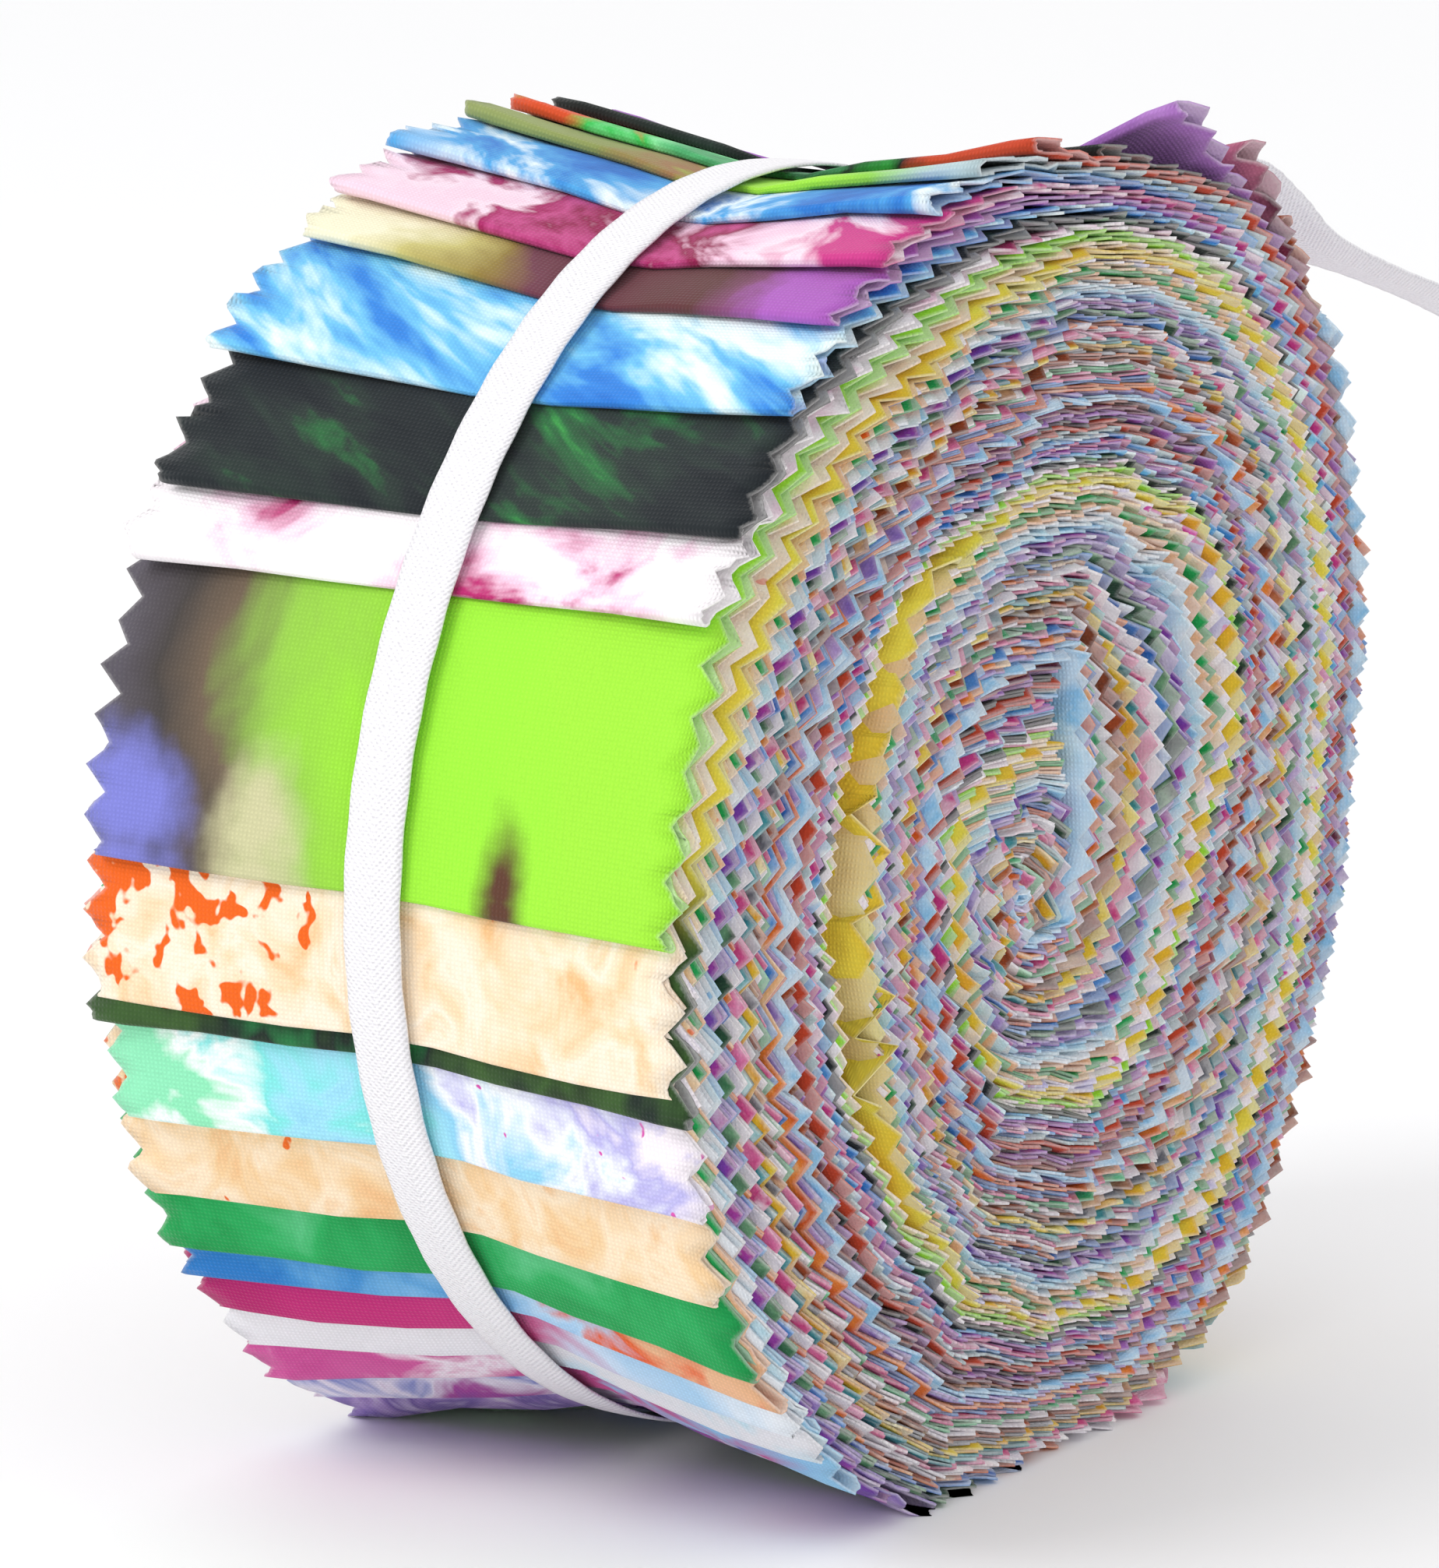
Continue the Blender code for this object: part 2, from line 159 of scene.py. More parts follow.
class Nodes:
    """Short hand for building one material's node tree."""

    def __init__(self, name):
        self.material = bpy.data.materials.new(name)
        self.material.use_nodes = True
        self.tree = self.material.node_tree
        self.shader = self.tree.nodes["Principled BSDF"]

    def put(self, kind, inputs=(), **settings):
        node = self.tree.nodes.new(kind)
        for key, value in settings.items():
            setattr(node, key, value)
        for socket, value in dict(inputs).items():
            if isinstance(value, bpy.types.NodeSocket):
                self.tree.links.new(value, node.inputs[socket])
            else:
                node.inputs[socket].default_value = value
        return node

    def math(self, operation, a, b=0.0, clamp=False):
        return self.put("ShaderNodeMath", {0: a, 1: b}, operation=operation, use_clamp=clamp).outputs[0]

    def mix(self, factor, a, b, blend="MIX"):
        node = self.put("ShaderNodeMix", {0: factor, 6: a, 7: b}, data_type="RGBA", blend_type=blend)
        return node.outputs[2]

    def noise(self, vector, scale, detail=3.0, rough=0.55, bend=0.0):
        node = self.put("ShaderNodeTexNoise", {"Vector": vector, "Scale": scale, "Detail": detail,
                                               "Roughness": rough, "Distortion": bend})
        return node.outputs["Fac"]

    def ramp(self, value, stops, ease="LINEAR"):
        node = self.put("ShaderNodeValToRGB", {0: value})
        band = node.color_ramp
        band.interpolation = ease
        while len(band.elements) < len(stops):
            band.elements.new(1.0)
        for element, (place, tint) in zip(band.elements, stops):
            element.position = place
            element.color = tint
        return node.outputs[0]

    def step(self, value, start, end):
        node = self.put("ShaderNodeMapRange", {0: value, 1: start, 2: end, 3: 0.0, 4: 1.0},
                        interpolation_type="SMOOTHSTEP")
        return node.outputs[0]


def finish_shader(nodes, tint, height, depth, rough):
    """Colour, roughness, soft sheen and a bump of that depth in metres on the shader."""
    bump = nodes.put("ShaderNodeBump", {"Height": height, "Distance": depth, "Strength": 0.6})
    nodes.tree.links.new(bump.outputs[0], nodes.shader.inputs["Normal"])
    nodes.tree.links.new(tint, nodes.shader.inputs["Base Color"])
    nodes.shader.inputs["Roughness"].default_value = rough
    nodes.shader.inputs["Sheen Weight"].default_value = 0.12
    nodes.shader.inputs["Specular IOR Level"].default_value = 0.2


def evenly(colours):
    """Ramp stops for a list of screen colours, evenly spread between 0.12 and 0.88."""
    places = np.linspace(0.12, 0.88, len(colours))
    return [(float(p), colour(c)) for p, c in zip(places, colours)]


def fabric_material(name, look, seed, cut_length):
    """Dyed cotton. look holds colours, size of blotches along and across in mm, gain, slope across
    the width, and an accent (colour, size in mm, threshold) or None."""
    nodes = Nodes(name)
    flat = nodes.put("ShaderNodeUVMap", uv_map="cloth").outputs[0]
    parts = nodes.put("ShaderNodeSeparateXYZ", {0: flat})
    along, across = parts.outputs[0], parts.outputs[1]
    size_s, size_x = look["size"]
    slid = nodes.math("ADD", along, nodes.math("MULTIPLY", across, look.get("skew", 0.0)))
    grain = nodes.put("ShaderNodeCombineXYZ", {0: nodes.math("MULTIPLY", slid, 1000.0 / size_s),
                                               1: nodes.math("MULTIPLY", across, 1000.0 / size_x),
                                               2: seed * 3.17}).outputs[0]
    cloud = nodes.noise(grain, 1.0, 4.0, 0.55, look.get("bend", 0.6))
    value = nodes.math("MULTIPLY_ADD", cloud, look["gain"])
    value.node.inputs[2].default_value = 0.5 - 0.5 * look["gain"]
    lean = nodes.math("MULTIPLY_ADD", across, look["slope"] * 0.5 / 0.03175)
    lean.node.inputs[2].default_value = look.get("shift", 0.0)
    value = nodes.math("ADD", value, lean, True)
    tint = nodes.ramp(value, evenly(look["colours"]))
    near = nodes.math("ABSOLUTE", nodes.math("SUBTRACT", along, 0.5 * cut_length * MM))
    if look.get("accent"):
        code, spot, limit = look["accent"]
        place = nodes.put("ShaderNodeVectorMath", {0: grain, 1: (5.3, 9.1, 2.2)}).outputs[0]
        drops = nodes.noise(place, size_x / spot, 2.0, 0.5, 0.3)
        lean_x, lean_s = look.get("accent_lean", (0.0, 0.0))
        drops = nodes.math("ADD", drops, nodes.math("MULTIPLY", across, lean_x / 0.03175))
        drops = nodes.math("ADD", drops, nodes.math("MULTIPLY", nodes.step(near, 0.004, 0.012), lean_s))
        tint = nodes.mix(nodes.step(drops, limit, limit + 0.035), tint, colour(code))
    for code, x0, s0, wide, tall in look.get("smudges", ()):
        dx = nodes.math("MULTIPLY", nodes.math("SUBTRACT", across, x0 * MM), 1000.0 / wide)
        ds = nodes.math("MULTIPLY", nodes.math("SUBTRACT", near, s0 * MM), 1000.0 / tall)
        squares = nodes.math("ADD", nodes.math("MULTIPLY", dx, dx), nodes.math("MULTIPLY", ds, ds))
        apart = nodes.math("SQRT", squares)
        apart = nodes.math("ADD", apart, nodes.math("MULTIPLY", nodes.noise(grain, 3.1, 3.0, 0.6), 1.1))
        tint = nodes.mix(nodes.step(apart, 1.65, 0.85), tint, colour(code))
    if look.get("fold_look"):
        other = look["fold_look"]
        front = nodes.ramp(nodes.math("ADD", nodes.noise(grain, 2.0), lean, True), evenly(other))
        reach = look.get("fold_reach", 0.03)
        tint = nodes.mix(nodes.step(near, reach, reach + 0.01), front, tint)
    threads = nodes.put("ShaderNodeCombineXYZ", {0: nodes.math("MULTIPLY", along, 1000.0),
                                                 1: nodes.math("MULTIPLY", across, 1000.0),
                                                 2: 0.0}).outputs[0]
    speckle = nodes.noise(threads, 2.6, 2.0, 0.7)
    weave = nodes.put("ShaderNodeTexWave", {"Vector": threads, "Scale": 0.757, "Distortion": 0.35,
                                            "Detail": 1.0, "Detail Scale": 1.5},
                      bands_direction="X").outputs["Fac"]
    weft = nodes.put("ShaderNodeTexWave", {"Vector": threads, "Scale": 0.757, "Distortion": 0.35,
                                           "Detail": 1.0, "Detail Scale": 1.5},
                     bands_direction="Y").outputs["Fac"]
    cloth = nodes.math("MULTIPLY", weave, weft)
    shade = nodes.math("MULTIPLY_ADD", nodes.math("ADD", cloth, speckle), 0.17)
    shade.node.inputs[2].default_value = 0.86
    tint = nodes.mix(1.0, tint, nodes.put("ShaderNodeCombineXYZ", {0: shade, 1: shade, 2: shade}).outputs[0],
                     "MULTIPLY")
    inside = nodes.put("ShaderNodeAttribute", attribute_name="inner").outputs["Fac"]
    tint = nodes.mix(nodes.math("MULTIPLY", inside, 0.38), tint, (0.78, 0.76, 0.77, 1.0))
    rim = nodes.put("ShaderNodeAttribute", attribute_name="rim").outputs["Fac"]
    fuzz = nodes.math("MULTIPLY_ADD", speckle, -0.7)
    nodes.tree.links.new(rim, fuzz.node.inputs[2])
    bare = nodes.math("SUBTRACT", 1.0, nodes.step(fuzz, -0.35, 0.15))
    tint = nodes.mix(nodes.math("MULTIPLY", bare, 0.16), tint, (0.88, 0.86, 0.84, 1.0))
    finish_shader(nodes, tint, nodes.math("ADD", cloth, nodes.math("MULTIPLY", speckle, 0.5)), 0.00009, 0.88)
    return nodes.material


def ribbon_material():
    """White woven tape: fine slanted ribs from two waves across each other."""
    nodes = Nodes("white_tape")
    flat = nodes.put("ShaderNodeUVMap", uv_map="cloth").outputs[0]
    place = nodes.put("ShaderNodeVectorMath", {0: flat, 3: 1000.0}, operation="SCALE").outputs[0]
    parts = nodes.put("ShaderNodeSeparateXYZ", {0: place})
    slanted = nodes.math("ADD", nodes.math("ABSOLUTE", parts.outputs[1]), parts.outputs[0])
    ribs = nodes.math("SINE", nodes.math("MULTIPLY", slanted, 2.0 * math.pi / 0.62))
    picks = nodes.math("SINE", nodes.math("MULTIPLY", parts.outputs[0], 2.0 * math.pi / 0.31))
    speckle = nodes.noise(place, 3.0, 2.0, 0.7)
    height = nodes.math("ADD", nodes.math("MULTIPLY", ribs, 0.6), nodes.math("MULTIPLY", picks, 0.4))
    level = nodes.math("ADD", nodes.math("MULTIPLY", height, 0.25), speckle)
    tint = nodes.ramp(level, [(0.1, colour("cfcdd2")), (0.45, colour("eceaee")), (0.9, colour("fbfafc"))])
    finish_shader(nodes, tint, height, 0.00008, 0.75)
    return nodes.material


# %% [markdown]
# ## Ribbon: the two free ends, the ring and the knot
#
# The free ends come first because they are the loose parts of the object. Their paths repeat the
# CAD tables, joined by the same rounded Catmull-Rom curve, so each keeps its real length. The tape
# is 6 mm wide and 0.4 mm thick. The photo hides the knot behind the top of the roll.

# %% Ribbon
RIBBON_WIDTH = 5.8
TAPE_THICK = 0.4
TAIL_LONG = [(3.5, 37.4, 109.2, 0), (4.4, 43.0, 109.5, 0), (5.2, 52.0, 110.0, 4), (6.6, 64.0, 109.8, 10),
             (8.4, 75.0, 107.6, 30), (9.4, 81.5, 103.4, 40), (9.9, 88.0, 99.0, 24),
             (10.3, 100.0, 94.8, 12), (10.9, 114.0, 90.0, 12), (11.6, 130.0, 83.4, 12),
             (12.2, 141.0, 77.6, 14)]
TAIL_SHORT = [(-3.5, 37.4, 109.2, 0), (-3.9, 44.0, 109.0, 10), (-3.4, 54.0, 108.6, 28),
              (-2.6, 64.0, 108.9, 42), (-2.0, 75.5, 109.4, 46)]
RIM_OFFSET = np.array([(0, -2.0), (10, -0.6), (24, 1.0), (34, 3.4), (44, 5.0), (55, 5.0), (62, 3.0),
                       (69, 0.9), (78, 0.1), (120, 0.0), (180, 0.0), (240, 0.6), (270, 0.0),
                       (286, -0.6), (300, 1.4), (312, 1.2), (325, -1.8), (340, -1.8), (352, -2.4),
                       (360, -2.0)])
TAPE = ribbon_material()


def base_radius(deg, x):
    """Radius of the wound form: the plain circle, plus the near rim's offset, less the waist."""
    out = np.clip((np.abs(x) - RIBBON_BED) / (HALF_WIDTH - RIBBON_BED), 0.0, 1.0)
    waist = (1.2 + 3.2 * np.abs(np.sin(np.radians(deg))) ** 1.5) * (1.0 - out) ** 1.2
    offset = np.interp(np.mod(deg, 360.0), RIM_OFFSET[:, 0], RIM_OFFSET[:, 1])
    near = smooth((x - RIBBON_BED) / (HALF_WIDTH - RIBBON_BED)) ** 0.7
    return ROLL_RADIUS + offset * near - waist


def curve_points(table, count):
    """Catmull-Rom curve through the rows of a table, at evenly spaced parameters."""
    p = np.array(table, float)
    p = np.vstack([2 * p[0] - p[1], p, 2 * p[-1] - p[-2]])
    t = np.linspace(0.0, len(p) - 3, count)
    k = np.minimum(t.astype(int), len(p) - 4)
    u = (t - k)[:, None]
    a, b, c, d = p[k], p[k + 1], p[k + 2], p[k + 3]
    return 0.5 * (2 * b + (c - a) * u + (2 * a - 5 * b + 4 * c - d) * u ** 2
                  + (3 * b - a - 3 * c + d) * u ** 3)


def tape_along(name, middle, across, normal, slant=0.0):
    """A closed strip of tape: points = middle + across times width + normal times a slight crown."""
    rows = np.linspace(-1.0, 1.0, 7)[:, None]
    ahead = np.gradient(middle, axis=0)
    length = np.concatenate([[0.0], np.cumsum(np.linalg.norm(np.diff(middle, axis=0), axis=1))])
    nibble = 0.05 * np.sin(length * 7.0)
    half = RIBBON_WIDTH / 2 + nibble
    push = slant * rows * smooth((length - length[-1] + 4.0) / 4.0)
    ahead /= np.linalg.norm(ahead, axis=1)[:, None]
    grids = []
    for side in (0.5, -0.5):
        lift = 0.12 * (1.0 - rows ** 2) + side * TAPE_THICK * (1.0 - 0.45 * rows ** 4)
        grids.append(middle[None] + (rows * half)[..., None] * across[None]
                     + lift[..., None] * normal[None] + push[..., None] * ahead[None])
    points = np.concatenate([g.reshape(-1, 3) for g in grids])
    flat = np.stack([np.broadcast_to(length, (7, len(length))), rows * half], axis=-1)
    uv = np.concatenate([flat.reshape(-1, 2)] * 2) * MM
    return make_mesh(name, points, closed_quads(7, len(middle)), TAPE, uv), length[-1]


def make_tail(name, table, node):
    """One free end of tape along the curve through its table; its length is printed."""
    path = curve_points(table, 12 * (len(table) - 1) + 1)
    middle, lean = path[:, :3], np.radians(path[:, 3])[:, None]
    ahead = np.gradient(middle, axis=0)
    ahead /= np.linalg.norm(ahead, axis=1)[:, None]
    side = np.cross(np.cross(ahead, [1.0, 0.0, 0.0]), ahead)
    side /= np.linalg.norm(side, axis=1)[:, None]
    up = np.cross(ahead, side)
    up *= np.sign(up[:, 2:3] + 1e-9)
    across = np.cos(lean) * side + np.sin(lean) * up
    thing, length = tape_along(name, middle, across, np.cross(ahead, across), 1.5)
    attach(thing, "root")
    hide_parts(node)
    print(name, "length mm", round(float(length), 1))


def make_band():
    """The ring of tape in the waist, a closed loop just outside the cloth."""
    deg = np.linspace(0.0, 360.0, 241)[:-1]
    wander = 0.2 * np.sin(np.radians(3 * deg + 40.0)) - 0.7 * np.exp(-((deg - 185.0) / 45.0) ** 2)
    radius = base_radius(deg, 0.0) + 0.62
    rad = np.radians(deg)
    middle = np.stack([wander, radius * np.cos(rad), AXIS_HEIGHT + radius * np.sin(rad)], axis=1)
    across = np.tile([1.0, 0.0, 0.0], (len(deg), 1))
    normal = np.stack([0 * rad, np.cos(rad), np.sin(rad)], axis=1)
    rows = np.linspace(-1.0, 1.0, 7)[:, None]
    length = rad * radius.mean()
    half = RIBBON_WIDTH / 2 + 0.06 * np.sin(length * 5.0)
    grids = []
    for side in (0.5, -0.5):
        lift = 0.05 * (1.0 - rows ** 2) + side * TAPE_THICK * (1.0 - 0.45 * rows ** 4)
        grids.append(middle[None] + (rows * half)[..., None] * across[None] + lift[..., None] * normal[None])
    points = np.concatenate([g.reshape(-1, 3) for g in grids])
    flat = np.stack([np.broadcast_to(length, (7, len(deg))), rows * half], axis=-1)
    uv = np.concatenate([flat.reshape(-1, 2)] * 2) * MM
    quads = closed_ring(7, len(deg))
    band = make_mesh("ribbon_ring", points, quads, TAPE, uv)
    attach(band, "root")
    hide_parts("ribbon_band")


def closed_ring(rows, cols):
    """Faces of a closed ring over two grids whose last column meets the first."""
    top = np.arange(rows * cols).reshape(rows, cols)
    top = np.concatenate([top, top[:, :1]], axis=1)
    low = top + rows * cols
    parts = [(top[:-1, :-1], top[:-1, 1:], top[1:, 1:], top[1:, :-1]),
             (low[:-1, :-1], low[1:, :-1], low[1:, 1:], low[:-1, 1:]),
             (top[-1:, :-1], top[-1:, 1:], low[-1:, 1:], low[-1:, :-1]),
             (top[:1, :-1], low[:1, :-1], low[:1, 1:], top[:1, 1:])]
    return np.concatenate([np.stack([v.ravel() for v in four], axis=1) for four in parts])


def make_knot():
    """The knot: a flat rounded lump of tape with one turn of tape drawn over it."""
    rad = math.radians(57.0)
    along = np.array([0.0, -math.sin(rad), math.cos(rad)])
    out = np.array([0.0, math.cos(rad), math.sin(rad)])
    side = np.array([1.0, 0.0, 0.0])
    base = float(base_radius(57.0, 0.0)) + 0.35 + 1.0 + 0.35
    centre = np.array([0.0, 0.0, AXIS_HEIGHT]) + out * (base + 2.2)
    polar = np.linspace(0.02, math.pi - 0.02, 21)[:, None]
    turn = np.linspace(0.0, 2.0 * math.pi, 49)[:-1][None]
    ball = [np.sin(polar) * np.cos(turn), np.sin(polar) * np.sin(turn), np.cos(polar) + 0.0 * turn]
    block = [np.sign(v) * np.abs(v) ** 0.75 for v in ball]
    ridge = 1.0 + 0.07 * np.sin(5.0 * block[1] + 3.0 * block[0]) - 0.13 * np.exp(-(block[0] / 0.3) ** 2)
    points = (centre + (block[0] * 4.2)[..., None] * side + (block[1] * ridge * 3.6)[..., None] * along
              + (block[2] * 2.0)[..., None] * out).reshape(-1, 3)
    rows, cols = 21, 48
    grid = np.arange(rows * cols).reshape(rows, cols)
    grid = np.concatenate([grid, grid[:, :1]], axis=1)
    quads = np.stack([v.ravel() for v in (grid[:-1, :-1], grid[1:, :-1], grid[1:, 1:], grid[:-1, 1:])], axis=1)
    uv = np.stack([block[0] * 4.2, block[1] * 4.0], axis=-1).reshape(-1, 2) * MM
    lump = make_mesh("ribbon_knot_lump", points, quads, TAPE, uv)
    ends = bpy.data.meshes[lump.data.name]
    loops = [grid[0, :-1][::-1].tolist(), grid[-1, :-1].tolist()]
    close_loops(ends, loops)
    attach(lump, "root")
    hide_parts("ribbon_knot")


def close_loops(mesh, loops):
    """Close open rings of a mesh with one flat face each."""
    import bmesh
    body = bmesh.new()
    body.from_mesh(mesh)
    body.verts.ensure_lookup_table()
    for loop in loops:
        body.faces.new([body.verts[i] for i in loop])
    bmesh.ops.recalc_face_normals(body, faces=body.faces[:])
    body.to_mesh(mesh)
    body.free()


make_tail("ribbon_end_long", TAIL_LONG, "ribbon_tail_long")
make_tail("ribbon_end_short", TAIL_SHORT, "ribbon_tail_short")
make_band()
make_knot()

# %% [markdown]
# ## The wound form
#
# One strip in the stack, the yellow one, marks the spiral in the photo, so its distance from the
# core was measured all the way round. Every other strip follows from it. A strip's place in the
# stack is a number f from 0 (inside) to 1 (outside). Inside the marked strip the radius is mixed
# between this turn's mark and the last turn's; outside it, between this turn's and the next.
# On the outer wall the marks that would come next are worked out backwards from the outline.

# %% Tables of the spiral
STRIPS = 40
MARK = 25
MARK_PLACE = (MARK + 0.5) / STRIPS
FOLD_FRONT = [(84.0, 6.0), (91.0, 9.0), (99.8, 5.5), (108.5, 4.5), (114.8, 6.0), (126.7, 1.0), (138.8, -1.0),
              (145.8, 0.0), (172.6, 1.5), (186.0, 2.0), (188.0, 2.0), (198.0, 2.0), (207.6, 3.0), (215.8, 5.0),
              (220.0, 5.0), (226.0, 5.0), (232.0, 4.0), (238.5, 3.0), (246.0, 2.0), (254.0, 1.0)]
FOLD_BACK_COUNT = 20
INNER_SPIRAL = [(-180, 10.0), (-120, 12.0), (-60, 15.0), (0, 17.0), (40, 15.5), (67, 13.8), (90, 12.8),
                (114, 12.3), (133, 12.9), (154, 12.4), (167, 11.5), (185, 11.0), (210, 10.5), (221, 10.4),
                (240, 13.0), (265.7, 17.1)]
SPIRAL = [(285, 27.2), (314, 28.9), (347, 29.5), (368, 36.3),
          (394, 37.4), (412, 33.9), (436, 31.9), (454, 30.4), (475, 30.7), (495, 31.7), (522, 30.5),
          (555, 31.2), (575, 33.4), (604, 39.5), (630, 48.0), (658, 50.5), (700, 52.5), (740, 54.6),
          (773, 54.4), (794, 53.0), (813, 50.2), (834, 49.0), (857, 52.0), (878, 54.9), (892, 57.4),
          (907, 60.9)]
CORE_EDGE = [(-180, 0.25), (67, 0.35), (190, 0.6), (240, 2.1), (270, 3.2), (300, 5.0), (330, 6.9), (360, 9.4),
             (387, 12.2), (403, 14.2), (417, 17.6)]
START = 67.0
START_OF_STRIP = [(0, -170), (5, -90), (10, -30), (14, 13), (18, 41), (25, 56), (32, 65), (39, 69)]
OUTER = ROLL_RADIUS - 0.35
CRESCENT = (450.0, 604.0, 5.2)
WALL_PITCH = 0.62


def fold_table():
    """Fold edges in order of angle from the top: the strip that ends there, its wound end, its slant."""
    front = np.array(FOLD_FRONT)
    back = np.linspace(front[-1, 0], front[0, 0] + 360.0, FOLD_BACK_COUNT + 2)[1:-1]
    angle = np.concatenate([front[:, 0], back])
    slant = np.concatenate([front[:, 1], 2.0 * np.sin(1.7 * np.arange(FOLD_BACK_COUNT))])
    number = np.arange(STRIPS)
    strip = (35 - number) % STRIPS
    end = angle + np.where(number <= 35, 720.0, 360.0)
    order = np.argsort(strip)
    return end[order], slant[order]


STRIP_END, STRIP_SLANT = fold_table()
DEGREES = np.arange(-180.0, 1320.0, 0.5)


def core_reach(deg, radius):
    """Distance from the core centre to a circle about the roll's centre, along one direction."""
    rad = np.radians(deg)
    b = CORE_Y * np.cos(rad) + CORE_Z * np.sin(rad)
    return -b + np.sqrt(b * b - (CORE_Y ** 2 + CORE_Z ** 2 - radius * radius))


def ends_place():
    """Place f in the stack of the strip that ends at each wound angle, carried on turn by turn."""
    place = (np.arange(STRIPS) + 0.5) / STRIPS
    order = np.argsort(STRIP_END)
    end, f = STRIP_END[order], place[order]
    turns = np.arange(-3, 2)[:, None]
    end, f = (end + 360.0 * turns).ravel(), (f - turns).ravel()
    return np.interp(DEGREES, end, f)


def crescent(deg):
    """Width of the open gap outside the marked strip."""
    part = np.clip((deg - CRESCENT[0]) / (CRESCENT[1] - CRESCENT[0]), 0.0, 1.0)
    return CRESCENT[2] * np.sin(np.pi * part) ** 1.3


def mark_table():
    """Radius of the marked strip about the core centre, from its start to one turn past its end."""
    table = np.array(SPIRAL, float)
    rad = np.radians(table[:, 0])
    near = table[:, 1] / (base_radius(table[:, 0], HALF_WIDTH) / ROLL_RADIUS)
    y, z = near * np.cos(rad) - CORE_Y, near * np.sin(rad) - CORE_Z
    wound = np.degrees(np.unwrap(np.arctan2(z, y)))
    wound += 360.0 * np.round((table[0, 0] - wound[0]) / 360.0)
    inner = np.array(INNER_SPIRAL, float)
    angle = np.concatenate([inner[:, 0], wound])
    radius = np.concatenate([inner[:, 1], np.hypot(y, z)])
    mark = np.interp(DEGREES, angle, radius)
    kernel = np.hanning(17)
    kernel /= kernel.sum()
    padded = np.concatenate([np.full(8, mark[0]), mark, np.full(8, mark[-1])])
    mark = np.convolve(padded, kernel, "valid")
    outline = core_reach(DEGREES, OUTER)
    place = ENDS_PLACE - MARK_PLACE
    for i in np.nonzero(DEGREES > wound[-1])[0]:
        before = np.interp(DEGREES[i] - 360.0, DEGREES, mark) + crescent(DEGREES[i] - 360.0)
        share = max(1.0 + place[i], 0.03)
        mark[i] = (outline[i] + before * (share - 1.0)) / share
    return mark


ENDS_PLACE = ends_place()
MARK_RADIUS = mark_table()
core_line = np.array(CORE_EDGE, float)
joined = (np.interp(START, DEGREES, MARK_RADIUS) * MARK_PLACE
          + np.interp(START + 360.0, DEGREES, MARK_RADIUS) * (1.0 - MARK_PLACE))
CORE_RADIUS = np.interp(DEGREES, np.append(core_line[:, 0], START + 360.0),
                        np.append(core_line[:, 1], joined))


def strip_radius(deg, f, x):
    """Distance of place f from the core centre at a wound angle and a place along the axis."""
    m = f - MARK_PLACE
    here = np.interp(deg, DEGREES, MARK_RADIUS)
    before = np.interp(deg - 360.0, DEGREES, MARK_RADIUS) + crescent(deg - 360.0)
    after = np.interp(deg + 360.0, DEGREES, MARK_RADIUS)
    core = np.interp(deg, DEGREES, CORE_RADIUS)
    low = np.where(deg < START + 360.0, core + (here - core) * f / MARK_PLACE, here * (1.0 + m) - before * m)
    gap = crescent(deg) * (f > (MARK + 0.95) / STRIPS)
    high = (here + gap) * (1.0 - m) + after * m
    radius = np.where(m <= 0.0, low, high)
    above = STRIPS * (np.interp(deg, DEGREES, ENDS_PLACE) - f)
    tight = core_reach(deg, OUTER) - WALL_PITCH * above
    weight = (1.0 - smooth((np.abs(x) - 6.0) / 22.0)) * smooth(1.0 - above / 14.0)
    return radius + (tight - radius) * weight


def place_points(deg, radius, x, lift=0.0, ahead=0.0):
    """Point about the roll's axis: core centre plus radius along the angle, lifted and pushed on,
    then scaled about the axis so that the outermost turn meets the outline."""
    rad = np.radians(deg)
    r = radius + lift
    y = CORE_Y + r * np.cos(rad) - ahead * np.sin(rad)
    z = CORE_Z + r * np.sin(rad) + ahead * np.cos(rad)
    phi = np.degrees(np.arctan2(z, y))
    down = np.maximum(-np.sin(np.radians(phi)), 1e-6)
    reach = np.minimum(base_radius(phi, x), (AXIS_HEIGHT - 0.25) / down)
    scale = reach / ROLL_RADIUS
    far = smooth((np.hypot(y, z) - 46.0) / 14.0)
    ripple = (0.16 * np.sin(np.radians(phi * 9.0) + x * 0.16) + 0.12 * np.sin(np.radians(phi * 17.0) - x * 0.23)
              + 0.10 * np.sin(np.radians(phi * 31.0) + x * 0.31))
    scale = scale * (1.0 + far * ripple * smooth((np.abs(x) - 5.0) / 14.0) / ROLL_RADIUS)
    y, z = y * scale, z * scale
    loose = smooth((np.abs(x) - 17.0) / 12.0) * (1.0 - far) * np.where(x > 0.0, 1.0, -1.0)
    wide = 0.45 * np.sin(0.42 * z + 0.21 * y + 0.6) + 0.22 * np.sin(0.93 * z - 0.55 * y)
    tall = 0.45 * np.sin(0.40 * y - 0.19 * z + 2.1) + 0.22 * np.sin(0.88 * y + 0.61 * z + 1.0)
    return y + loose * wide, z + loose * tall


# %% [markdown]
# ## One strip
#
# A strip runs from the core outwards on its inner half, turns round its fold, and runs back on its
# outer half. Along the cloth, points stand every half tooth, 2.25 mm, so the pinked edge is a true
# zigzag: the half width is shorter at every other point. Near the fold the outer half is lifted to
# make the rounded bend, and at the rims some folds stand open.
#
# `PROUD` pushes the near rim of a strip out past its neighbours. `FLARES` lifts the near corner of a
# fold off the roll: the height at the rim, and the place along the axis where the lift starts.

